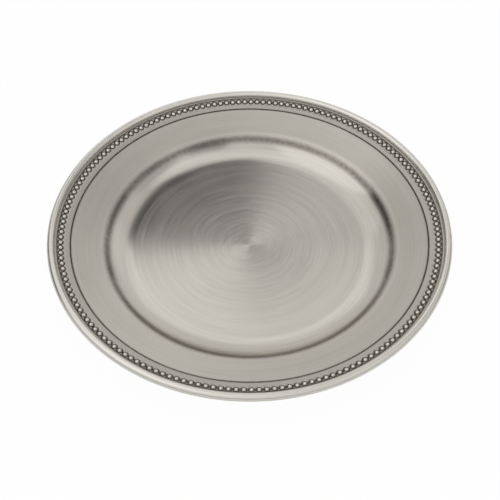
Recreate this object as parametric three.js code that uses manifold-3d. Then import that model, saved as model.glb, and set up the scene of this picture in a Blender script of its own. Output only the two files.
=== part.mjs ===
// Beaded rim plate: a spun metal dish with a sloping rim, an applied strip of
// struck beads seated in a recess of that rim, and a hollow edging closed over
// a wire around the outer edge. Millimetres, +Z up, standing on z = 0, with the
// plate's axis on the Z axis and the first bead of the row on the +X side.

import * as THREE from 'three';
import { mergeVertices } from 'three/addons/utils/BufferGeometryUtils.js';
import Module from 'manifold-3d';

const wasm = await Module();
wasm.setup();

const { degToRad } = THREE.MathUtils;

// Whole plate
const PLATE_DIAMETER = 330;
const SEAM = 0.3;

// Dish: flat well, hollow cavetto, rounded fold and the sloping rim (marli)
const SHEET = 1;
const CAVETTO_RADIUS = 38;
const CAVETTO_ANGLE = degToRad(37.2);
const FOLD_RADIUS = 22;
const RIM_ANGLE = degToRad(16.2);
const MARLI_WIDTH = 22.5;

// Bead strip: a flat band, a row of beads each in a round pocket, a thin fillet
const STRIP_THICKNESS = 1.4;
const INNER_FLAT = 4.9;
const OUTER_FILLET = 2.1;
const BEAD_DIAMETER = 4.8;
const BEAD_PITCH = 5.6;
const BEAD_RISE = 0.6;
const BEAD_SINK = 0.2;
const POCKET_WEB = 0.2;
const POCKET_DEPTH = 1;

// Edging: a hollow round roll whose foot holds the strip and whose lip holds the dish
const EDGING_DIAMETER = 6.3;
const EDGING_WALL = 0.6;
const LIP_LENGTH = 3;
const WIRE_DIAMETER = 3;
const WIRE_SEAT_ANGLE = degToRad(50);

// Facets
const PLATE_SIDES = 56;
const CAVETTO_STEPS = 4;
const FOLD_STEPS = 3;
const CREST_STEPS = 5;
const CURL_STEPS = 3;
const BEAD_SIDES = 6;
const BEAD_RINGS = 2;
const WIRE_SIDES = 6;
const WELD = 1e-4;
const STRAIGHT = 0.002;

// Radii and heights that follow from those sizes
const plateRadius = PLATE_DIAMETER / 2;
const pocketRadius = (BEAD_PITCH - POCKET_WEB) / 2;
const stripStart = MARLI_WIDTH + SEAM;
const beadAlong = stripStart + INNER_FLAT + pocketRadius;
const footAlong = beadAlong + pocketRadius + OUTER_FILLET;
const seatAbove = -STRIP_THICKNESS - SEAM;
const lipAbove = seatAbove - SHEET - SEAM - EDGING_WALL;

// Edging roll: its foot stands on the strip, and it runs out below into the lip
const rollRadius = EDGING_DIAMETER / 2;
const rollInside = rollRadius - EDGING_WALL;
const rollAbove = lipAbove + rollRadius;
const footAngle = Math.asin((SEAM - rollAbove) / rollRadius);
const footAngleInside = Math.asin((SEAM - rollAbove) / rollInside);
const rollAlong = footAlong + rollRadius * Math.cos(footAngle);
const stripEnd = rollAlong - rollInside * Math.cos(footAngleInside);

// Dish: the end of its fold, placed so that the roll ends at the plate's radius
const foldEnd = new THREE.Vector2(
  plateRadius - rollRadius - rollAlong * Math.cos(RIM_ANGLE) + rollAbove * Math.sin(RIM_ANGLE),
  SHEET + CAVETTO_RADIUS * (1 - Math.cos(CAVETTO_ANGLE))
    + FOLD_RADIUS * (Math.cos(RIM_ANGLE) - Math.cos(CAVETTO_ANGLE)),
);
const foldCentre = new THREE.Vector2(
  foldEnd.x + FOLD_RADIUS * Math.sin(RIM_ANGLE),
  foldEnd.y - FOLD_RADIUS * Math.cos(RIM_ANGLE),
);
const wellRadius = foldCentre.x - (FOLD_RADIUS + CAVETTO_RADIUS) * Math.sin(CAVETTO_ANGLE);

// Wire, laid against the inside of the roll, and the dish's edge that meets it
const wireRadius = WIRE_DIAMETER / 2;
const wireOffset = rollInside - SEAM - wireRadius;
const wireAlong = rollAlong + wireOffset * Math.cos(WIRE_SEAT_ANGLE);
const wireAbove = rollAbove - wireOffset * Math.sin(WIRE_SEAT_ANGLE);
const wireReach = Math.sqrt((wireRadius + SEAM) ** 2 - (wireAbove - seatAbove) ** 2);
const flangeEnd = wireAlong - wireReach;

// Point of the rim's section, by its distance along the slope from the fold
// and its height above the slope.
function onRim(along, above) {
  const slope = new THREE.Vector2(along, above).rotateAround(new THREE.Vector2(), RIM_ANGLE);
  return slope.add(foldEnd);
}

// Points of an elliptical arc, both ends included.
function arc(centre, semiWidth, semiHeight, from, to, steps) {
  return Array.from({ length: steps + 1 }, (_, step) => {
    const angle = THREE.MathUtils.lerp(from, to, step / steps);
    return new THREE.Vector2(
      centre.x + semiWidth * Math.cos(angle),
      centre.y + semiHeight * Math.sin(angle),
    );
  });
}

// Position-only copy of a geometry, with shared corners merged and the flat
// triangles that a revolve leaves on its axis removed.
function welded(geometry) {
  const bare = geometry.clone();
  bare.deleteAttribute('normal');
  bare.deleteAttribute('uv');
  const merged = mergeVertices(bare, WELD);
  const corners = merged.index.array;
  const kept = [];
  for (let i = 0; i < corners.length; i += 3) {
    const [a, b, c] = corners.slice(i, i + 3);
    if (a !== b && b !== c && c !== a) {
      kept.push(a, b, c);
    }
  }
  merged.setIndex(kept);
  return merged;
}

// Solid of revolution about Z from a section of (radius, height) points, which
// ends on the axis or is closed here.
function revolve(section, sides) {
  const closed = section[0].x === 0 ? [...section] : [...section, section[0]];
  const outline = THREE.ShapeUtils.area(section) > 0 ? closed : closed.reverse();
  const geometry = new THREE.LatheGeometry(outline, sides);
  geometry.rotateX(Math.PI / 2);
  return welded(geometry);
}

function toSolid(geometry) {
  return new wasm.Manifold(new wasm.Mesh({
    numProp: 3,
    vertProperties: new Float32Array(geometry.attributes.position.array),
    triVerts: new Uint32Array(geometry.index.array),
  }));
}

// The corners that a cut leaves part way along a straight edge are taken out.
function toGeometry(solid) {
  const mesh = solid.asOriginal().simplify(STRAIGHT).getMesh();
  const geometry = new THREE.BufferGeometry();
  geometry.setAttribute('position', new THREE.BufferAttribute(mesh.vertProperties, mesh.numProp));
  geometry.setIndex(new THREE.BufferAttribute(mesh.triVerts, 1));
  geometry.computeVertexNormals();
  return geometry;
}

// One face of the dish: the upper one at depth 0, the lower one a sheet deeper.
function dishFace(depth) {
  const cavettoCentre = new THREE.Vector2(wellRadius, SHEET + CAVETTO_RADIUS);
  const hollow = CAVETTO_RADIUS + depth;
  const crown = FOLD_RADIUS - depth;
  const down = -Math.PI / 2;
  const up = Math.PI / 2;
  return [
    new THREE.Vector2(0, SHEET - depth),
    ...arc(cavettoCentre, hollow, hollow, down, down + CAVETTO_ANGLE, CAVETTO_STEPS),
    ...arc(foldCentre, crown, crown, up + CAVETTO_ANGLE, up + RIM_ANGLE, FOLD_STEPS).slice(1),
    onRim(MARLI_WIDTH - depth, -depth),
    onRim(MARLI_WIDTH - depth, seatAbove - depth),
    onRim(flangeEnd, seatAbove - depth),
  ];
}

function dishGeometry() {
  return revolve([...dishFace(0), ...dishFace(SHEET).reverse()], PLATE_SIDES);
}

// Turns a shape that stands on the Z axis to stand on the slope, at a distance
// along it and an azimuth about the plate's axis.
function seatedOnRim(geometry, along, azimuth) {
  const seat = onRim(along, 0);
  return geometry.clone()
    .rotateZ(Math.PI / 2)
    .rotateY(-RIM_ANGLE)
    .translate(seat.x, 0, seat.y)
    .rotateZ(azimuth);
}

// One bead: a dome that rises above the strip's face and is rooted in its pocket.
function beadGeometry() {
  const foot = -POCKET_DEPTH - BEAD_SINK;
  const base = new THREE.Vector2(0, foot);
  const dome = arc(base, BEAD_DIAMETER / 2, BEAD_RISE - foot, 0, Math.PI / 2, BEAD_RINGS);
  const top = new THREE.Vector2(0, BEAD_RISE);
  return revolve([base, ...dome.slice(0, -1), top], BEAD_SIDES);
}

// Pocket around a bead. Neighbouring pockets all but meet, which leaves the
// strip's face as two rows of pointed cusps, one on each side of the beads.
function pocketGeometry() {
  return revolve([
    new THREE.Vector2(0, -POCKET_DEPTH),
    new THREE.Vector2(pocketRadius, -POCKET_DEPTH),
    new THREE.Vector2(pocketRadius, BEAD_RISE),
    new THREE.Vector2(0, BEAD_RISE),
  ], BEAD_SIDES);
}

// The strip is a closed hoop with a whole count of beads, evenly spaced.
function beadStripGeometry() {
  const ringRadius = onRim(beadAlong, 0).x;
  const turn = 2 * Math.PI;
  const beadCount = Math.round(turn * ringRadius / BEAD_PITCH);
  const band = revolve([
    onRim(stripStart, -STRIP_THICKNESS),
    onRim(stripEnd, -STRIP_THICKNESS),
    onRim(stripEnd, 0),
    onRim(stripStart, 0),
  ], PLATE_SIDES);
  const pocket = pocketGeometry();
  const bead = beadGeometry();
  const azimuths = Array.from({ length: beadCount }, (_, i) => i * turn / beadCount);

  let strip = toSolid(band);
  for (const azimuth of azimuths) {
    strip = strip.subtract(toSolid(seatedOnRim(pocket, beadAlong, azimuth)));
  }
  for (const azimuth of azimuths) {
    strip = strip.add(toSolid(seatedOnRim(bead, beadAlong, azimuth)));
  }
  return toGeometry(strip);
}

// Edging section: from the foot over the crest to the widest line, on in a curl
// to the lip, and back along the inside.
function edgingGeometry() {
  const rollCentre = onRim(rollAlong, rollAbove);
  const lipEnd = rollAlong - LIP_LENGTH;
  const curlEnd = RIM_ANGLE - Math.PI / 2;
  const skin = (radius, foot) => [
    ...arc(rollCentre, radius, radius, RIM_ANGLE + Math.PI - foot, 0, CREST_STEPS),
    ...arc(rollCentre, radius, radius, 0, curlEnd, CURL_STEPS).slice(1),
  ];
  return revolve([
    ...skin(rollRadius, footAngle),
    onRim(lipEnd, lipAbove),
    onRim(lipEnd, lipAbove + EDGING_WALL),
    ...skin(rollInside, footAngleInside).reverse(),
  ], PLATE_SIDES);
}

function wireGeometry() {
  const section = arc(onRim(wireAlong, wireAbove), wireRadius, wireRadius, 0, 2 * Math.PI, WIRE_SIDES);
  return revolve(section.slice(0, -1), PLATE_SIDES);
}

function piece(name, geometry, color, roughness) {
  const material = new THREE.MeshStandardMaterial({ color, roughness, metalness: 1 });
  const mesh = new THREE.Mesh(geometry, material);
  mesh.name = name;
  return mesh;
}

const plate = new THREE.Group();
plate.add(
  piece('dish', dishGeometry(), 0xb8b5ae, 0.34),
  piece('bead_strip', beadStripGeometry(), 0xa9a59c, 0.38),
  piece('rim_edging', edgingGeometry(), 0xbcb9b2, 0.28),
  piece('edging_wire', wireGeometry(), 0x8f8d89, 0.5),
);

export default plate;
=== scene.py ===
"""Looks of a beaded rim plate: a spun dish, a struck beaded border and a wired edging.

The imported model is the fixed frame. Each piece here stands for one of its nodes, in metres, in
the same place, with the fine surface that the faceted solids leave out.
"""

import math

import bmesh
import bpy
from bpy.props import FloatProperty, FloatVectorProperty, PointerProperty
from mathutils import Matrix, Vector


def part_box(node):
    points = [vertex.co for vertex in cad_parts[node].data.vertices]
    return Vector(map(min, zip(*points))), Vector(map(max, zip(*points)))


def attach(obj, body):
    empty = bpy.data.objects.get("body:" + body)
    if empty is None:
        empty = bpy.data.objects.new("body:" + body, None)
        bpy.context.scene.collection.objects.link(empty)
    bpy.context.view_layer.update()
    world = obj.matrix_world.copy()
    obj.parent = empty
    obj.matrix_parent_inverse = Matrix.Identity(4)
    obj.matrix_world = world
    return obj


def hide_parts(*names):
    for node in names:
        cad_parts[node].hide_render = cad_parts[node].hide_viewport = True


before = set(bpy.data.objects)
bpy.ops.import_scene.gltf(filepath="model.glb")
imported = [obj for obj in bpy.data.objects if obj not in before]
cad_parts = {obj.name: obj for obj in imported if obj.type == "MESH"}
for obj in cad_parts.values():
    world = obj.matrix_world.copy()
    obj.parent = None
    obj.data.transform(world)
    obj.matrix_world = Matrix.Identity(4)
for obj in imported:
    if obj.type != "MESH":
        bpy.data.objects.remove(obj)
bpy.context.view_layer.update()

bl_info = {
    "name": "Beaded rim plate",
    "version": (1, 0, 0),
    "blender": (4, 5, 0),
    "location": "3D View > Sidebar > Plate",
    "description": "Models a spun metal plate with a beaded border and a wired edging",
    "category": "Object",
}

MM = 0.001
PLATE_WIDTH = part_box("rim_edging")[1].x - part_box("rim_edging")[0].x

# Facets of the fine surface
PLATE_STEPS = 288
FLOOR_RINGS = 12
RIM_RINGS = 4
ARC_STEPS = 14
ROLL_STEPS = 28
WIRE_SIDES = 16
CORNER_SEGMENTS = 2
SHARP_TURN = math.radians(30)
WELD = 0.002 * MM

# Beads: their sides, how far up the dome its rings lie, and how sharp the rounded border keeps a
# bead's foot and a pocket's mouth, from 0 to 1
BEAD_SIDES = 12
BEAD_CLIMBS = (math.radians(30), math.radians(60))
FOOT_CREASE = 0.5
MOUTH_CREASE = 0.6

# Shares of a bead's half width past which a corner of its pocket's mouth lies on the saddle between
# two pockets, and on the cusp beside it
SADDLE_ACROSS = 0.99
CUSP_ACROSS = 0.8

# Roughness: the well and its hollow are finer brushed than the rim, and the beads are rubbed bright
WELL_ROUGHNESS = 0.18
MARLI_ROUGHNESS = 0.52
BEAD_ROUGHNESS = 0.22
FLAT_ROUGHNESS = 0.45
EDGING_ROUGHNESS = 0.3
WIRE_ROUGHNESS = 0.5
PATINA_SHADE_ROUGHNESS = 0.6
PAPER_ROUGHNESS = 0.9

# How far brush marks draw a reflection out across them, from 0 to 1
SPUN_DRAW = 0.8
ROLLED_DRAW = 0.3

# Brushed dish: the broad rings' share in its marks, and the change of its roughness over a range of
# marks and smudges
BROAD_SHARE = 0.4
WEAR_RANGE = (0.6, 1.4)
WEAR_CHANGE = (0.9, 1.1)

# Brown of tarnish and painted shade: the size of its patches, their cover over a range of noise, how far
# the painted shade reaches at the fold and at the step between rim and border, and its share at the fold
PATINA_SHADE_PATCH = 3 * MM
PATCH_RANGE = (0.3, 0.7)
PATCH_COVER = (0.75, 1.0)
FOLD_SHADE_REACH = 5 * MM
STEP_SHADE_REACH = 1.4 * MM
FOLD_SHARE = 0.75

# Struck border: the share of a pocket's depth at which it is all brown (tarnish and painted shade), the
# brown groove's line and reach as shares of the outer fillet (painted shade), and the shares of a bead's
# rise where rubbing and the painted highlight on its top start and are full
POCKET_BROWN = 0.6
GROOVE_LINE = 0.85
GROOVE_REACH = 0.55
RUB_HIGHLIGHT_START = 0.1
RUB_HIGHLIGHT_FULL = 0.5

# Studio: the floor's side, how far the panels of the light tent stand from the plate, how finely
# each follows the round of the tent, and the panels by name, reach over the back in degrees,
# reach to the right in degrees, and brightness. They are matched to the plate's reflections. Between
# the panels the tent is bare.
FLOOR_SPAN = 4
TENT_RADIUS = 12
PANEL_CUTS = 6
PANELS = (
    ("low_panel", (4, 28), (-30, 30), 0.68),
    ("back_panel", (28, 49.5), (-17, 14), 0.98),
    ("back_right_panel", (28, 49.5), (14, 44), 0.76),
    ("back_left_panel", (28, 49.5), (-43, -17), 0.66),
    ("left_panel", (49.5, 69), (-43, -1), 0.8),
    ("right_panel", (49.5, 69), (16, 44), 0.68),
    ("top_panel", (69, 89), (-10, 26), 0.95),
    ("upper_left_panel", (69, 108), (-43, -10), 1.1),
    ("zenith_panel", (89, 116), (-10, 9), 0.76),
    ("upper_right_panel", (69, 98), (26, 50), 0.5),
    ("back_gap", (49.5, 69), (-1, 16), 0.0),
    ("left_gap", (2, 67), (-89, -43), 0.05),
    ("right_gap", (2, 67), (44, 89), 0.28),
    ("lens_gap", (98, 116), (9, 26), 0.3),
)


def linear(code):
    """Linear colour of an sRGB hex value."""
    parts = [int(code[i:i + 2], 16) / 255 for i in (0, 2, 4)]
    return tuple(p / 12.92 if p <= 0.04045 else ((p + 0.055) / 1.055) ** 2.4 for p in parts)


class PlateSizes(bpy.types.PropertyGroup):
    """Sizes of the plate's pieces."""

    diameter: FloatProperty(
        name="Plate diameter", description="Across the edging at its widest line",
        default=PLATE_WIDTH, unit="LENGTH")
    seam: FloatProperty(
        name="Seam", description="Gap between two pieces that lie against each other",
        default=0.3 * MM, unit="LENGTH")
    corner: FloatProperty(
        name="Corner", description="Radius that wear leaves on a piece's edges",
        default=0.5 * MM, unit="LENGTH")

    sheet: FloatProperty(
        name="Sheet", description="Thickness of the spun sheet",
        default=1 * MM, unit="LENGTH")
    cavetto_radius: FloatProperty(
        name="Cavetto radius", description="Radius of the hollow between well and rim",
        default=38 * MM, unit="LENGTH")
    cavetto_angle: FloatProperty(
        name="Cavetto angle", description="Steepest slope, where the hollow meets the fold",
        default=math.radians(37.2), subtype="ANGLE")
    fold_radius: FloatProperty(
        name="Fold radius", description="Radius of the rounded fold above the hollow",
        default=22 * MM, unit="LENGTH")
    rim_angle: FloatProperty(
        name="Rim angle", description="Slope of the rim",
        default=math.radians(16.2), subtype="ANGLE")
    marli_width: FloatProperty(
        name="Rim width", description="Plain rim from the fold to the beaded border",
        default=22.5 * MM, unit="LENGTH")

    strip_thickness: FloatProperty(
        name="Border thickness", description="Thickness of the beaded border's strip",
        default=1.4 * MM, unit="LENGTH")
    inner_flat: FloatProperty(
        name="Inner flat", description="Flat band inside the row of beads",
        default=4.9 * MM, unit="LENGTH")
    outer_fillet: FloatProperty(
        name="Outer fillet", description="Thin flat band outside the row of beads",
        default=2.1 * MM, unit="LENGTH")
    bead_diameter: FloatProperty(
        name="Bead diameter", description="Width of a bead at the floor of its pocket",
        default=4.5 * MM, unit="LENGTH")
    bead_pitch: FloatProperty(
        name="Bead pitch", description="Distance between neighbouring beads, to a whole count",
        default=5.6 * MM, unit="LENGTH")
    bead_rise: FloatProperty(
        name="Bead rise", description="Height of a bead above the border's flats",
        default=0.8 * MM, unit="LENGTH")
    bead_sink: FloatProperty(
        name="Bead sink", description="Depth of a bead's widest line below its pocket's floor",
        default=0.2 * MM, unit="LENGTH")
    pocket_web: FloatProperty(
        name="Pocket web", description="Least metal between two pockets at the pitch line",
        default=0.2 * MM, unit="LENGTH")
    pocket_depth: FloatProperty(
        name="Pocket depth", description="Depth of the pocket around a bead",
        default=1 * MM, unit="LENGTH")
    pocket_flare: FloatProperty(
        name="Pocket flare", description="How far a pocket's mouth reaches past its neighbour's",
        default=0.17 * MM, unit="LENGTH")
    saddle_depth: FloatProperty(
        name="Saddle depth", description="Depth of the low ridge between two neighbouring pockets",
        default=0.6 * MM, unit="LENGTH")
    first_bead: FloatProperty(
        name="First bead", description="Azimuth of the first bead, from the right",
        default=0, subtype="ANGLE")

    edging_diameter: FloatProperty(
        name="Edging diameter", description="Width of the edging's round roll",
        default=6.3 * MM, unit="LENGTH")
    edging_wall: FloatProperty(
        name="Edging wall", description="Wall of the hollow edging",
        default=0.6 * MM, unit="LENGTH")
    lip_length: FloatProperty(
        name="Lip length", description="Lip that closes under the dish",
        default=3 * MM, unit="LENGTH")
    wire_diameter: FloatProperty(
        name="Wire diameter", description="Wire inside the edging",
        default=3 * MM, unit="LENGTH")
    wire_seat_angle: FloatProperty(
        name="Wire seat angle", description="Place of the wire in the curl, below the slope",
        default=math.radians(50), subtype="ANGLE")


class PlateFinish(bpy.types.PropertyGroup):
    """Colours and marks of the plate's metals."""

    dish_light: FloatVectorProperty(
        name="Dish metal", description="Brushed steel of the dish",
        default=linear("e4dfd6"), size=3, subtype="COLOR")
    dish_dark: FloatVectorProperty(
        name="Dish brush marks", description="Tone of the deeper brush marks",
        default=linear("beb9b0"), size=3, subtype="COLOR")
    # On the bead tops, lighter than the flats' tone: a painted highlight
    border_light: FloatVectorProperty(
        name="Border metal", description="Bare steel on the beads and flats",
        default=linear("e6e2da"), size=3, subtype="COLOR")
    # Brown: tarnish in the pockets, and painted shade in the pockets, the groove, at the step and at the
    # fold
    patina_and_shade: FloatVectorProperty(
        name="Border patina", description="Brown tarnish left in the pockets, the grooves and the fold",
        default=linear("4a4239"), size=3, subtype="COLOR")
    edging_light: FloatVectorProperty(
        name="Edging metal", description="Drawn and polished edging",
        default=linear("eeeae2"), size=3, subtype="COLOR")
    wire_grey: FloatVectorProperty(
        name="Wire metal", description="Drawn wire inside the edging",
        default=linear("8f8d89"), size=3, subtype="COLOR")
    # Real brush marks lie about 0.1 mm apart. These are drawn as coarse as they need to show.
    brush_spacing: FloatProperty(
        name="Brush spacing", description="Radial distance between brush marks",
        default=0.9 * MM, unit="LENGTH")
    brush_depth: FloatProperty(
        name="Brush depth", description="Depth of the brush marks",
        default=0.0006 * MM, unit="LENGTH")
    ring_spacing: FloatProperty(
        name="Ring spacing", description="Radial distance between the broad rings of spinning",
        default=7 * MM, unit="LENGTH")
    ring_depth: FloatProperty(
        name="Ring depth", description="Depth of the broad rings of spinning",
        default=0.05 * MM, unit="LENGTH")
    well_hollow: FloatProperty(
        name="Well hollow", description="How far the spun well's face leans up towards its edge",
        default=5 * MM, unit="LENGTH")
    smudge_size: FloatProperty(
        name="Smudge size", description="Size of the faint dull patches left by handling",
        default=35 * MM, unit="LENGTH")


class PlateStage(bpy.types.PropertyGroup):
    """Camera and studio."""

    camera_distance: FloatProperty(
        name="Camera distance", description="Level distance from the plate's axis",
        default=554.36 * MM, unit="LENGTH")
    camera_height: FloatProperty(
        name="Camera height", description="Height above the table",
        default=661.65 * MM, unit="LENGTH")
    camera_pitch: FloatProperty(
        name="Camera pitch", description="How far the camera looks down",
        default=math.radians(50.315), subtype="ANGLE")
    camera_yaw: FloatProperty(
        name="Camera yaw", description="How far the camera looks to the right",
        default=math.radians(0.0386), subtype="ANGLE")
    camera_lens: FloatProperty(
        name="Lens", description="Focal length on a 36 mm sensor",
        default=74.25, unit="CAMERA")
    floor_white: FloatVectorProperty(
        name="Floor", description="Plain pale floor",
        default=linear("ffffff"), size=3, subtype="COLOR")
    floor_lift: FloatProperty(
        name="Floor lift", description="Share of plain white in the floor that the eye sees",
        default=0.97, min=0, max=1, subtype="FACTOR")
    tent_white: FloatVectorProperty(
        name="Tent", description="Cloth of the light tent",
        default=linear("ffffff"), size=3, subtype="COLOR")
    tent_level: FloatProperty(
        name="Tent level", description="Brightness of the bare tent overhead", default=0.8)
    horizon_level: FloatProperty(
        name="Horizon level", description="Brightness of the tent at the table", default=0.03)
    tent_rise: FloatProperty(
        name="Tent rise", description="Height at which the tent is at full brightness, as a sine",
        default=0.45)


class RimLine:
    """The rim's slope and the lines that the pieces are placed by, in the section's XZ plane."""

    def __init__(self, sizes):
        self.turn = sizes.rim_angle
        self.pocket_radius = (sizes.bead_pitch - sizes.pocket_web) / 2
        self.strip_start = sizes.marli_width + sizes.seam
        self.bead_along = self.strip_start + sizes.inner_flat + self.pocket_radius
        self.foot_along = self.bead_along + self.pocket_radius + sizes.outer_fillet
        self.seat_above = -sizes.strip_thickness - sizes.seam
        self.lip_above = self.seat_above - sizes.sheet - sizes.seam - sizes.edging_wall
        self.roll_radius = sizes.edging_diameter / 2
        self.roll_inside = self.roll_radius - sizes.edging_wall
        self.roll_above = self.lip_above + self.roll_radius
        rise = sizes.seam - self.roll_above
        self.foot_angle = math.asin(rise / self.roll_radius)
        self.foot_inside = math.asin(rise / self.roll_inside)
        self.roll_along = self.foot_along + self.roll_radius * math.cos(self.foot_angle)
        self.strip_end = self.roll_along - self.roll_inside * math.cos(self.foot_inside)
        hollow_drop = 1 - math.cos(sizes.cavetto_angle)
        fold_drop = math.cos(self.turn) - math.cos(sizes.cavetto_angle)
        self.fold_end = Vector((0, 0, sizes.sheet + sizes.cavetto_radius * hollow_drop
                                + sizes.fold_radius * fold_drop))
        roll_axis = sizes.diameter / 2 - self.roll_radius
        self.fold_end.x = roll_axis - self.point(self.roll_along, self.roll_above).x
        self.fold_centre = self.point(0, -sizes.fold_radius)
        bend = sizes.fold_radius + sizes.cavetto_radius
        self.well_radius = self.fold_centre.x - bend * math.sin(sizes.cavetto_angle)
        self.fold_start = self.well_radius + sizes.cavetto_radius * math.sin(sizes.cavetto_angle)
        self.roll_centre = self.point(self.roll_along, self.roll_above)
        self.wire_radius = sizes.wire_diameter / 2
        offset = self.roll_inside - sizes.seam - self.wire_radius
        self.wire_along = self.roll_along + offset * math.cos(sizes.wire_seat_angle)
        self.wire_above = self.roll_above - offset * math.sin(sizes.wire_seat_angle)
        drop = self.wire_above - self.seat_above
        self.flange_end = self.wire_along - math.sqrt((self.wire_radius + sizes.seam) ** 2 - drop ** 2)

    def point(self, along, above):
        """Point by its distance along the slope from the fold and its height above the slope."""
        across, up = math.cos(self.turn), math.sin(self.turn)
        return self.fold_end + Vector((along * across - above * up, 0, along * up + above * across))


def line_to(bm, corner, point, cuts=0):
    """Draws a section on from its last corner in a straight line, cut into equal stretches."""
    start = corner.co.copy()
    for step in range(1, cuts + 2):
        corner = bmesh.ops.extrude_vert_indiv(bm, verts=[corner])["verts"][0]
        corner.co = start.lerp(point, step / (cuts + 1))
    return corner


def arc_to(bm, corner, centre, turn, steps=ARC_STEPS):
    """Draws a section on from its last corner by an arc, anticlockwise for a positive turn."""
    made = bmesh.ops.spin(
        bm, geom=[corner], cent=centre, axis=(0, -1, 0), angle=turn, steps=steps)
    return next(item for item in made["geom_last"] if isinstance(item, bmesh.types.BMVert))


def revolve(bm):
    """Turns a drawn section about the plate's axis and closes it."""
    bmesh.ops.spin(
        bm, geom=bm.verts[:] + bm.edges[:], cent=(0, 0, 0), axis=(0, 0, 1),
        angle=2 * math.pi, steps=PLATE_STEPS, use_merge=True)
    bmesh.ops.remove_doubles(bm, verts=bm.verts, dist=WELD)
    bmesh.ops.recalc_face_normals(bm, faces=bm.faces)


def round_corners(bm, radius):
    """Rounds every edge at which the surface turns sharply."""
    edges = [e for e in bm.edges if e.is_manifold and e.calc_face_angle() > SHARP_TURN]
    bmesh.ops.bevel(
        bm, geom=edges, offset=radius, offset_type="OFFSET", affect="EDGES",
        segments=CORNER_SEGMENTS, profile=0.5, material=-1, clamp_overlap=True)


def add_object(bm, name, material):
    """Adds an object with a finished mesh and its material to the scene."""
    mesh = bpy.data.meshes.new(name)
    bm.to_mesh(mesh)
    bm.free()
    mesh.materials.append(material)
    added = bpy.data.objects.new(name, mesh)
    bpy.context.scene.collection.objects.link(added)
    return added


def add_piece(bm, name, node, material):
    """Makes the piece that stands for a node of the frame."""
    piece = add_object(bm, name, material)
    piece.data.shade_smooth()
    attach(piece, "root")
    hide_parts(node)
    return piece


def weight_normals(piece):
    """Keeps broad faces evenly shaded beside their rounded corners."""
    piece.modifiers.new("Even shading", "WEIGHTED_NORMAL")


def add_node(tree, kind, inputs=(), **settings):
    """Adds a node with its settings. An input is a value, or the socket that feeds it."""
    node = tree.nodes.new(kind)
    for name, value in settings.items():
        setattr(node, name, value)
    for key, value in dict(inputs).items():
        if isinstance(value, bpy.types.NodeSocket):
            tree.links.new(value, node.inputs[key])
        else:
            node.inputs[key].default_value = value
    return node


def new_metal(name, roughness, anisotropic):
    """Starts a metal: its tree, its shader, the place on the plate, and its radius and direction."""
    material = bpy.data.materials.new(name)
    material.use_nodes = True
    tree = material.node_tree
    shader = tree.nodes["Principled BSDF"]
    shader.inputs["Metallic"].default_value = 1.0
    shader.inputs["Roughness"].default_value = roughness
    shader.inputs["Anisotropic"].default_value = anisotropic
    place = add_node(tree, "ShaderNodeTexCoord").outputs["Object"]
    level = add_node(
        tree, "ShaderNodeVectorMath", {0: place, 1: (1, 1, 0)}, operation="MULTIPLY").outputs[0]
    radius = add_node(
        tree, "ShaderNodeVectorMath", {0: level}, operation="LENGTH").outputs["Value"]
    outward = add_node(
        tree, "ShaderNodeVectorMath", {0: level}, operation="NORMALIZE").outputs[0]
    tree.links.new(outward, shader.inputs["Tangent"])
    return material, tree, shader, place, radius, outward


def brush_marks(tree, radius, outward, spacing, streaks, detail):
    """Noise drawn out along the circles of a lathe: marks by their spacing, streaks to a radian."""
    around = add_node(
        tree, "ShaderNodeVectorMath", {0: outward, "Scale": streaks},
        operation="SCALE").outputs[0]
    across = add_node(
        tree, "ShaderNodeMath", {0: radius, 1: 1 / spacing}, operation="MULTIPLY").outputs[0]
    rings = add_node(tree, "ShaderNodeCombineXYZ", {"Z": across}).outputs[0]
    lathe = add_node(
        tree, "ShaderNodeVectorMath", {0: around, 1: rings}, operation="ADD").outputs[0]
    return add_node(
        tree, "ShaderNodeTexNoise", {"Vector": lathe, "Scale": 1.0, "Detail": detail}).outputs[0]


def dish_tone(tree, place, radius, marks, finish, rim, sizes):
    """Colour of the dish: brush marks, with brown painted shade at the fold and at the border's step."""
    steel = add_node(
        tree, "ShaderNodeMix", {"Factor": marks, "A": (*finish.dish_dark, 1),
                                "B": (*finish.dish_light, 1)}, data_type="RGBA").outputs[2]
    # Painted shade: brown laid along the fold and along the border's step
    fold = band(tree, radius, rim.fold_start, FOLD_SHADE_REACH)
    thin = add_node(tree, "ShaderNodeMath", {0: fold, 1: FOLD_SHARE}, operation="MULTIPLY").outputs[0]
    step = band(tree, radius, rim.point(sizes.marli_width, 0).x, STEP_SHADE_REACH)
    mask = add_node(tree, "ShaderNodeMath", {0: thin, 1: step}, operation="MAXIMUM").outputs[0]
    tone, _ = tarnish_and_shade(tree, place, mask, steel, finish.patina_and_shade)
    return tone


def dish_sheen(tree, place, radius, fine, finish, rim):
    """Roughness of the dish: finer in the well than on the rim, uneven by marks and smudges."""
    smudge = add_node(
        tree, "ShaderNodeTexNoise",
        {"Vector": place, "Scale": 1 / finish.smudge_size, "Detail": 3.0}).outputs[0]
    wear = add_node(tree, "ShaderNodeMath", {0: smudge, 1: fine}, operation="ADD").outputs[0]
    uneven = add_node(
        tree, "ShaderNodeMapRange",
        {"Value": wear, "From Min": WEAR_RANGE[0], "From Max": WEAR_RANGE[1],
         "To Min": WEAR_CHANGE[0], "To Max": WEAR_CHANGE[1]}).outputs[0]
    sheen = add_node(
        tree, "ShaderNodeMapRange",
        {"Value": radius, "From Min": rim.fold_start, "From Max": rim.fold_end.x,
         "To Min": WELL_ROUGHNESS, "To Max": MARLI_ROUGHNESS}).outputs[0]
    return add_node(tree, "ShaderNodeMath", {0: sheen, 1: uneven}, operation="MULTIPLY").outputs[0]


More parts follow.
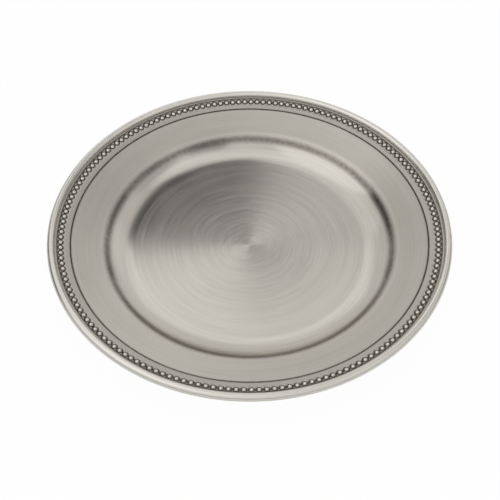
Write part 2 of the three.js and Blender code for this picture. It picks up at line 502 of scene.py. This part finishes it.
def well_lean(tree, radius, finish, rim):
    """Height by which the spun well leans up towards its edge, eased to level in the hollow."""
    within = add_node(
        tree, "ShaderNodeMath", {0: radius, 1: rim.well_radius}, operation="MINIMUM").outputs[0]
    well = add_node(
        tree, "ShaderNodeMath", {0: within, 1: within}, operation="MULTIPLY").outputs[0]
    beyond = add_node(
        tree, "ShaderNodeMapRange",
        {"Value": radius, "From Min": rim.well_radius, "From Max": rim.fold_start,
         "To Min": 1.0, "To Max": 0.0}).outputs[0]
    ease = add_node(
        tree, "ShaderNodeMath", {0: beyond, 1: beyond}, operation="MULTIPLY").outputs[0]
    span = rim.well_radius * (rim.well_radius - rim.fold_start)
    eased = add_node(
        tree, "ShaderNodeMath", {0: ease, 1: span, 2: well}, operation="MULTIPLY_ADD").outputs[0]
    return add_node(
        tree, "ShaderNodeMath", {0: eased, 1: finish.well_hollow / rim.well_radius ** 2},
        operation="MULTIPLY").outputs[0]


def dish_metal(finish, rim, sizes):
    """Stainless steel, spun and brushed on the lathe: fine rings that draw each reflection outwards."""
    material, tree, shader, place, radius, outward = new_metal("brushed_steel", WELL_ROUGHNESS, SPUN_DRAW)
    fine = brush_marks(tree, radius, outward, finish.brush_spacing, streaks=2, detail=3)
    broad = brush_marks(tree, radius, outward, finish.ring_spacing, streaks=0.6, detail=2)
    marks = add_node(
        tree, "ShaderNodeMix", {"Factor": BROAD_SHARE, "A": fine, "B": broad}).outputs[0]
    tone = dish_tone(tree, place, radius, marks, finish, rim, sizes)
    tree.links.new(tone, shader.inputs["Base Color"])
    sheen = dish_sheen(tree, place, radius, fine, finish, rim)
    tree.links.new(sheen, shader.inputs["Roughness"])
    rings = add_node(
        tree, "ShaderNodeMath", {0: broad, 1: finish.ring_depth}, operation="MULTIPLY").outputs[0]
    grooves = add_node(
        tree, "ShaderNodeMath", {0: fine, 1: finish.brush_depth, 2: rings},
        operation="MULTIPLY_ADD").outputs[0]
    lean = well_lean(tree, radius, finish, rim)
    height = add_node(tree, "ShaderNodeMath", {0: lean, 1: grooves}, operation="ADD").outputs[0]
    bump = add_node(tree, "ShaderNodeBump", {"Strength": 1.0, "Distance": 1.0, "Height": height})
    tree.links.new(bump.outputs[0], shader.inputs["Normal"])
    return material


def slope_height(tree, place, radius, rim):
    """Height above the border's face and distance along it, from the place on the plate."""
    level = add_node(tree, "ShaderNodeSeparateXYZ", {0: place}).outputs["Z"]
    up = add_node(
        tree, "ShaderNodeMath", {0: level, 1: rim.fold_end.z}, operation="SUBTRACT").outputs[0]
    out = add_node(
        tree, "ShaderNodeMath", {0: radius, 1: rim.fold_end.x}, operation="SUBTRACT").outputs[0]
    out_fall = add_node(
        tree, "ShaderNodeMath", {0: out, 1: -math.sin(rim.turn)}, operation="MULTIPLY").outputs[0]
    above = add_node(
        tree, "ShaderNodeMath", {0: up, 1: math.cos(rim.turn), 2: out_fall},
        operation="MULTIPLY_ADD").outputs[0]
    up_run = add_node(
        tree, "ShaderNodeMath", {0: up, 1: math.sin(rim.turn)}, operation="MULTIPLY").outputs[0]
    along = add_node(
        tree, "ShaderNodeMath", {0: out, 1: math.cos(rim.turn), 2: up_run},
        operation="MULTIPLY_ADD").outputs[0]
    return above, along


def band(tree, value, middle, half_width):
    """Soft band: 1 on a line, 0 from half a width away."""
    off = add_node(tree, "ShaderNodeMath", {0: value, 1: middle}, operation="SUBTRACT").outputs[0]
    away = add_node(tree, "ShaderNodeMath", {0: off}, operation="ABSOLUTE").outputs[0]
    return add_node(
        tree, "ShaderNodeMapRange", {"Value": away, "From Min": half_width, "From Max": 0.0},
        interpolation_type="SMOOTHSTEP").outputs[0]


def tarnish_and_shade(tree, place, mask, bare, brown):
    """Lays brown tarnish in patches over bare metal where the mask is high. Gives tone and cover."""
    patch = add_node(
        tree, "ShaderNodeTexNoise",
        {"Vector": place, "Scale": 1 / PATINA_SHADE_PATCH, "Detail": 3.0}).outputs[0]
    uneven = add_node(
        tree, "ShaderNodeMapRange",
        {"Value": patch, "From Min": PATCH_RANGE[0], "From Max": PATCH_RANGE[1],
         "To Min": PATCH_COVER[0], "To Max": PATCH_COVER[1]}).outputs[0]
    cover = add_node(tree, "ShaderNodeMath", {0: mask, 1: uneven}, operation="MULTIPLY").outputs[0]
    tone = add_node(
        tree, "ShaderNodeMix", {"Factor": cover, "A": bare, "B": (*brown, 1)},
        data_type="RGBA").outputs[2]
    return tone, cover


def border_metal(finish, rim, sizes):
    """Struck steel: rubbed smooth, painted highlight on bead tops, tarnish and painted shade in hollows.
    """
    material, tree, shader, place, radius, _ = new_metal("struck_steel", BEAD_ROUGHNESS, 0)
    above, along = slope_height(tree, place, radius, rim)
    # Brown in the pockets is tarnish and painted shade; in the groove and at the step it is painted shade
    pocket = add_node(
        tree, "ShaderNodeMapRange",
        {"Value": above, "From Min": 0.0, "From Max": -POCKET_BROWN * sizes.pocket_depth},
        interpolation_type="SMOOTHSTEP").outputs[0]
    groove_line = rim.foot_along - GROOVE_LINE * sizes.outer_fillet
    groove = band(tree, along, groove_line, GROOVE_REACH * sizes.outer_fillet)
    deep = add_node(tree, "ShaderNodeMath", {0: pocket, 1: groove}, operation="MAXIMUM").outputs[0]
    step = band(tree, along, sizes.marli_width, STEP_SHADE_REACH)
    mask = add_node(tree, "ShaderNodeMath", {0: deep, 1: step}, operation="MAXIMUM").outputs[0]
    raised = add_node(
        tree, "ShaderNodeMapRange",
        {"Value": above, "From Min": RUB_HIGHLIGHT_START * sizes.bead_rise, "From Max": RUB_HIGHLIGHT_FULL * sizes.bead_rise},
        interpolation_type="SMOOTHSTEP").outputs[0]
    # Painted highlight: bead tops lighter than the flats, by the same mask that makes them smoother
    bare = add_node(
        tree, "ShaderNodeMix", {"Factor": raised, "A": (*finish.dish_dark, 1),
                                "B": (*finish.border_light, 1)}, data_type="RGBA").outputs[2]
    tone, cover = tarnish_and_shade(tree, place, mask, bare, finish.patina_and_shade)
    tree.links.new(tone, shader.inputs["Base Color"])
    rubbed = add_node(
        tree, "ShaderNodeMapRange",
        {"Value": raised, "To Min": FLAT_ROUGHNESS, "To Max": BEAD_ROUGHNESS}).outputs[0]
    dull = add_node(
        tree, "ShaderNodeMapRange",
        {"Value": cover, "To Min": rubbed, "To Max": PATINA_SHADE_ROUGHNESS}).outputs[0]
    tree.links.new(dull, shader.inputs["Roughness"])
    return material


def edging_metal(finish):
    """Drawn steel, rolled and rubbed satin by handling, with faint marks along its length."""
    material, tree, shader, _, radius, outward = new_metal("drawn_steel", EDGING_ROUGHNESS, ROLLED_DRAW)
    marks = brush_marks(tree, radius, outward, finish.brush_spacing, streaks=2, detail=2)
    tone = add_node(
        tree, "ShaderNodeMix", {"Factor": marks, "A": (*finish.dish_light, 1),
                                "B": (*finish.edging_light, 1)}, data_type="RGBA").outputs[2]
    tree.links.new(tone, shader.inputs["Base Color"])
    return material


def wire_metal(finish):
    """Drawn wire, dull grey from the die, with fine marks along its length."""
    material, tree, shader, _, radius, outward = new_metal("drawn_wire", WIRE_ROUGHNESS, 0)
    marks = brush_marks(tree, radius, outward, finish.brush_spacing, streaks=20, detail=2)
    tone = add_node(
        tree, "ShaderNodeMix", {"Factor": marks, "A": (*finish.dish_dark, 1),
                                "B": (*finish.wire_grey, 1)}, data_type="RGBA").outputs[2]
    tree.links.new(tone, shader.inputs["Base Color"])
    return material


class PLATE_OT_dish(bpy.types.Operator):
    """Spins the dish: flat well, hollow cavetto, rounded fold, sloping rim and pressed seat."""

    bl_idname = "beaded_plate.dish"
    bl_label = "Dish"

    def execute(self, context):
        sizes = context.scene.plate_sizes
        rim = RimLine(sizes)
        hollow_centre = Vector((rim.well_radius, 0, sizes.sheet + sizes.cavetto_radius))
        unbend = sizes.cavetto_angle - rim.turn
        foot = sizes.marli_width - sizes.sheet
        bm = bmesh.new()
        corner = bm.verts.new((0, 0, sizes.sheet))
        corner = line_to(bm, corner, Vector((rim.well_radius, 0, sizes.sheet)), FLOOR_RINGS)
        corner = arc_to(bm, corner, hollow_centre, sizes.cavetto_angle)
        corner = arc_to(bm, corner, rim.fold_centre, -unbend)
        corner = line_to(bm, corner, rim.point(sizes.marli_width, 0), RIM_RINGS)
        corner = line_to(bm, corner, rim.point(sizes.marli_width, rim.seat_above))
        corner = line_to(bm, corner, rim.point(rim.flange_end, rim.seat_above))
        corner = line_to(bm, corner, rim.point(rim.flange_end, rim.seat_above - sizes.sheet))
        corner = line_to(bm, corner, rim.point(foot, rim.seat_above - sizes.sheet))
        corner = line_to(bm, corner, rim.point(foot, -sizes.sheet))
        corner = line_to(bm, corner, rim.point(0, -sizes.sheet), RIM_RINGS)
        corner = arc_to(bm, corner, rim.fold_centre, unbend)
        corner = arc_to(bm, corner, hollow_centre, -sizes.cavetto_angle)
        line_to(bm, corner, Vector((0, 0, 0)), FLOOR_RINGS)
        revolve(bm)
        round_corners(bm, sizes.corner)
        metal = dish_metal(context.scene.plate_finish, rim, sizes)
        weight_normals(add_piece(bm, "spun_dish", "dish", metal))
        return {"FINISHED"}


def bead_dome(bm, sizes):
    """Domes a bead up from the circle of its foot."""
    floor = -sizes.pocket_depth
    foot = floor - sizes.bead_sink
    base = sizes.bead_diameter / 2
    dome = sizes.bead_rise - foot
    even = math.cos(math.pi / BEAD_SIDES)
    bmesh.ops.create_circle(bm, cap_ends=True, segments=BEAD_SIDES, radius=base)
    bmesh.ops.translate(bm, verts=bm.verts, vec=(0, 0, floor))
    cap = bm.faces[:][0]
    reach = base
    level = floor
    for climb in BEAD_CLIMBS:
        ring = base * math.cos(climb)
        upper = foot + dome * math.sin(climb)
        bmesh.ops.inset_individual(
            bm, faces=[cap], thickness=(reach - ring) * even, depth=upper - level,
            use_even_offset=True)
        reach = ring
        level = upper
    bmesh.ops.poke(bm, faces=[cap], offset=sizes.bead_rise - level)


def pocket_mouth(bm, sizes, pitch):
    """Draws the pocket from a bead's foot up to its mouth. Gives the mouth's lines and cusps."""
    crease = bm.edges.layers.float["crease_edge"]
    base = sizes.bead_diameter / 2
    foot_line = [e for e in bm.edges if e.is_boundary]
    mouth = bmesh.ops.extrude_edge_only(bm, edges=foot_line)["geom"]
    for edge in foot_line:
        edge[crease] = FOOT_CREASE
    flare = pitch / 2 + sizes.pocket_flare
    cusp = math.sqrt(flare ** 2 - (pitch / 2) ** 2)
    for corner in (item for item in mouth if isinstance(item, bmesh.types.BMVert)):
        across = corner.co.x / base
        side = math.copysign(1, corner.co.y)
        if abs(across) > SADDLE_ACROSS:
            corner.co = (math.copysign(pitch / 2, across), 0, -sizes.saddle_depth)
        elif abs(across) > CUSP_ACROSS:
            corner.co = (math.copysign(pitch / 2, across), side * cusp, 0)
        else:
            corner.co = (flare * across, flare * corner.co.y / base, 0)
    lines = [item for item in mouth if isinstance(item, bmesh.types.BMEdge) and item.is_boundary]
    return lines, cusp


def bead_cell(sizes, rim, pitch):
    """One pitch of the border, flat: X along the row, Y out along the slope, Z above it."""
    bm = bmesh.new()
    crease = bm.edges.layers.float.new("crease_edge")
    bead_dome(bm, sizes)
    lines, cusp = pocket_mouth(bm, sizes, pitch)
    ends = []
    bounds = ((-1, -rim.pocket_radius - sizes.inner_flat), (1, rim.strip_end - rim.bead_along))
    for side, limit in bounds:
        chain = [e for e in lines if all(side * v.co.y > cusp / 2 for v in e.verts)]
        for edge in chain:
            edge[crease] = MOUTH_CREASE
        stops = ((limit - side * sizes.corner, 0), (limit, 0), (limit, -sizes.strip_thickness))
        for out, up in stops:
            made = bmesh.ops.extrude_edge_only(bm, edges=chain)["geom"]
            chain = [e for e in made if isinstance(e, bmesh.types.BMEdge) and e.is_boundary
                     and all(v in made for v in e.verts)]
            for corner in {v for e in chain for v in e.verts}:
                corner.co = (corner.co.x, out, up)
        for edge in chain:
            edge[crease] = 1
        ends += chain
    bmesh.ops.bridge_loops(bm, edges=ends)
    return bm


class PLATE_OT_border(bpy.types.Operator):
    """Strikes the beaded border: flats, and beads in pockets whose mouths meet in cusps."""

    bl_idname = "beaded_plate.border"
    bl_label = "Beaded border"

    def execute(self, context):
        sizes = context.scene.plate_sizes
        rim = RimLine(sizes)
        row = rim.point(rim.bead_along, 0).x
        count = round(2 * math.pi * row / sizes.bead_pitch)
        step = 2 * math.pi / count
        bm = bead_cell(sizes, rim, row * step)
        for corner in bm.verts:
            place = rim.point(rim.bead_along + corner.co.y, corner.co.z)
            place.rotate(Matrix.Rotation(sizes.first_bead + corner.co.x / row, 3, "Z"))
            corner.co = place
        bmesh.ops.spin(
            bm, geom=bm.verts[:] + bm.edges[:] + bm.faces[:], cent=(0, 0, 0), axis=(0, 0, 1),
            angle=step * (count - 1), steps=count - 1, use_duplicate=True)
        bmesh.ops.remove_doubles(bm, verts=bm.verts, dist=WELD)
        bmesh.ops.recalc_face_normals(bm, faces=bm.faces)
        metal = border_metal(context.scene.plate_finish, rim, sizes)
        piece = add_piece(bm, "beaded_border", "bead_strip", metal)
        rounded = piece.modifiers.new("Rounded beads", "SUBSURF")
        rounded.levels = 1
        rounded.render_levels = 1
        return {"FINISHED"}


class PLATE_OT_edging(bpy.types.Operator):
    """Rolls the edging: a foot on the border, a round roll, and a lip under the dish."""

    bl_idname = "beaded_plate.edging"
    bl_label = "Edging"

    def execute(self, context):
        sizes = context.scene.plate_sizes
        rim = RimLine(sizes)
        lip_end = rim.roll_along - sizes.lip_length
        lip_face = rim.lip_above + sizes.edging_wall
        three_quarters = 1.5 * math.pi
        bm = bmesh.new()
        corner = bm.verts.new(rim.point(rim.foot_along, sizes.seam))
        corner = arc_to(bm, corner, rim.roll_centre, rim.foot_angle - three_quarters, ROLL_STEPS)
        corner = line_to(bm, corner, rim.point(lip_end, rim.lip_above))
        corner = line_to(bm, corner, rim.point(lip_end, lip_face))
        corner = line_to(bm, corner, rim.point(rim.roll_along, lip_face))
        corner = arc_to(bm, corner, rim.roll_centre, three_quarters - rim.foot_inside, ROLL_STEPS)
        line_to(bm, corner, rim.point(rim.foot_along, sizes.seam))
        revolve(bm)
        round_corners(bm, sizes.corner / 2)
        metal = edging_metal(context.scene.plate_finish)
        weight_normals(add_piece(bm, "wired_edging", "rim_edging", metal))
        return {"FINISHED"}


class PLATE_OT_wire(bpy.types.Operator):
    """Draws the wire that the edging is rolled over."""

    bl_idname = "beaded_plate.wire"
    bl_label = "Edging wire"

    def execute(self, context):
        sizes = context.scene.plate_sizes
        rim = RimLine(sizes)
        centre = rim.point(rim.wire_along, rim.wire_above)
        bm = bmesh.new()
        corner = bm.verts.new(centre + Vector((rim.wire_radius, 0, 0)))
        arc_to(bm, corner, centre, 2 * math.pi, WIRE_SIDES)
        revolve(bm)
        metal = wire_metal(context.scene.plate_finish)
        add_piece(bm, "core_wire", "edging_wire", metal)
        return {"FINISHED"}


def towards(fan, side, distance):
    """Place in a direction from the plate: fan from the back horizon overhead, side to the right."""
    return distance * Vector((
        math.sin(side), math.cos(side) * math.cos(fan), math.cos(side) * math.sin(fan)))


def add_panel(name, fan, side, cloth):
    """Adds a panel of the light tent. It shows in the metal alone: not to the eye, nor on the floor."""
    bm = bmesh.new()
    bmesh.ops.create_grid(bm, x_segments=PANEL_CUTS, y_segments=PANEL_CUTS, size=0.5)
    for corner in bm.verts:
        over = fan[0] + (0.5 + corner.co.y) * (fan[1] - fan[0])
        right = side[0] + (0.5 + corner.co.x) * (side[1] - side[0])
        corner.co = towards(math.radians(over), math.radians(right), TENT_RADIUS)
    panel = add_object(bm, name, cloth)
    panel.visible_camera = False
    panel.visible_diffuse = False
    panel.visible_shadow = False


def floor_paint(stage):
    """White paper: lifted to nearly plain white for the eye, with a trace of the plate's shadow."""
    material = bpy.data.materials.new("white_paper")
    material.use_nodes = True
    tree = material.node_tree
    paper = tree.nodes["Principled BSDF"]
    paper.inputs["Base Color"].default_value = (*stage.floor_white, 1)
    paper.inputs["Roughness"].default_value = PAPER_ROUGHNESS
    white = add_node(tree, "ShaderNodeEmission", {"Color": (*stage.floor_white, 1), "Strength": 1.0})
    path = add_node(tree, "ShaderNodeLightPath")
    share = add_node(
        tree, "ShaderNodeMath", {0: path.outputs["Is Camera Ray"], 1: stage.floor_lift},
        operation="MULTIPLY")
    mixed = add_node(
        tree, "ShaderNodeMixShader",
        {0: share.outputs[0], 1: paper.outputs[0], 2: white.outputs[0]})
    tree.links.new(mixed.outputs[0], tree.nodes["Material Output"].inputs["Surface"])
    return material


def tent_cloth(name, stage, level):
    """Cloth of the light tent, lit from behind to a brightness."""
    material = bpy.data.materials.new(name)
    material.use_nodes = True
    tree = material.node_tree
    glow = add_node(tree, "ShaderNodeEmission", {"Color": (*stage.tent_white, 1), "Strength": level})
    tree.links.new(glow.outputs[0], tree.nodes["Material Output"].inputs["Surface"])
    return material


class PLATE_OT_stage(bpy.types.Operator):
    """Sets up the white floor, the light tent and the camera."""

    bl_idname = "beaded_plate.stage"
    bl_label = "Studio"

    def execute(self, context):
        scene = context.scene
        stage = scene.plate_stage
        scene.view_settings.view_transform = "Standard"
        self.add_floor(stage)
        self.add_tent(scene, stage)
        for name, fan, side, level in PANELS:
            add_panel(name, fan, side, tent_cloth(name, stage, level))
        self.add_camera(scene, stage)
        return {"FINISHED"}

    def add_floor(self, stage):
        """Lays the floor."""
        bm = bmesh.new()
        bmesh.ops.create_grid(bm, x_segments=1, y_segments=1, size=FLOOR_SPAN / 2)
        add_object(bm, "floor", floor_paint(stage))

    def add_tent(self, scene, stage):
        """Lights the bare tent, brighter overhead than at the table and plain white to the eye."""
        world = bpy.data.worlds.new("light_tent")
        scene.world = world
        world.use_nodes = True
        tree = world.node_tree
        direction = add_node(tree, "ShaderNodeTexCoord").outputs["Generated"]
        up = add_node(tree, "ShaderNodeSeparateXYZ", {0: direction}).outputs["Z"]
        level = add_node(
            tree, "ShaderNodeMapRange",
            {"Value": up, "From Min": 0.0, "From Max": stage.tent_rise,
             "To Min": stage.horizon_level, "To Max": stage.tent_level},
            interpolation_type="SMOOTHSTEP").outputs[0]
        back = tree.nodes["Background"]
        back.inputs["Color"].default_value = (*stage.tent_white, 1)
        path = add_node(tree, "ShaderNodeLightPath")
        shown = add_node(
            tree, "ShaderNodeMath", {0: level, 1: path.outputs["Is Camera Ray"]},
            operation="MAXIMUM").outputs[0]
        tree.links.new(shown, back.inputs["Strength"])

    def add_camera(self, scene, stage):
        """Sets the camera in front of the plate, looking down."""
        data = bpy.data.cameras.new("camera")
        data.lens = stage.camera_lens
        camera = bpy.data.objects.new("camera", data)
        camera.location = (0, -stage.camera_distance, stage.camera_height)
        camera.rotation_euler = (math.pi / 2 - stage.camera_pitch, 0, -stage.camera_yaw)
        scene.collection.objects.link(camera)
        scene.camera = camera


class PLATE_PT_sidebar(bpy.types.Panel):
    """Lists the plate's pieces, sizes, finishes and studio."""

    bl_idname = "PLATE_PT_sidebar"
    bl_label = "Beaded rim plate"
    bl_space_type = "VIEW_3D"
    bl_region_type = "UI"
    bl_category = "Plate"

    def draw(self, context):
        for operator in OPERATORS:
            self.layout.operator(operator.bl_idname)
        for group in (context.scene.plate_sizes, context.scene.plate_finish, context.scene.plate_stage):
            for name in group.__annotations__:
                self.layout.prop(group, name)


OPERATORS = (PLATE_OT_dish, PLATE_OT_border, PLATE_OT_edging, PLATE_OT_wire, PLATE_OT_stage)
CLASSES = (PlateSizes, PlateFinish, PlateStage, *OPERATORS, PLATE_PT_sidebar)


def register():
    for item in CLASSES:
        bpy.utils.register_class(item)
    bpy.types.Scene.plate_sizes = PointerProperty(type=PlateSizes)
    bpy.types.Scene.plate_finish = PointerProperty(type=PlateFinish)
    bpy.types.Scene.plate_stage = PointerProperty(type=PlateStage)


def unregister():
    del bpy.types.Scene.plate_sizes
    del bpy.types.Scene.plate_finish
    del bpy.types.Scene.plate_stage
    for item in reversed(CLASSES):
        bpy.utils.unregister_class(item)


def main():
    register()
    bpy.ops.beaded_plate.dish()
    bpy.ops.beaded_plate.border()
    bpy.ops.beaded_plate.edging()
    bpy.ops.beaded_plate.wire()
    bpy.ops.beaded_plate.stage()


if __name__ == "__main__":
    main()
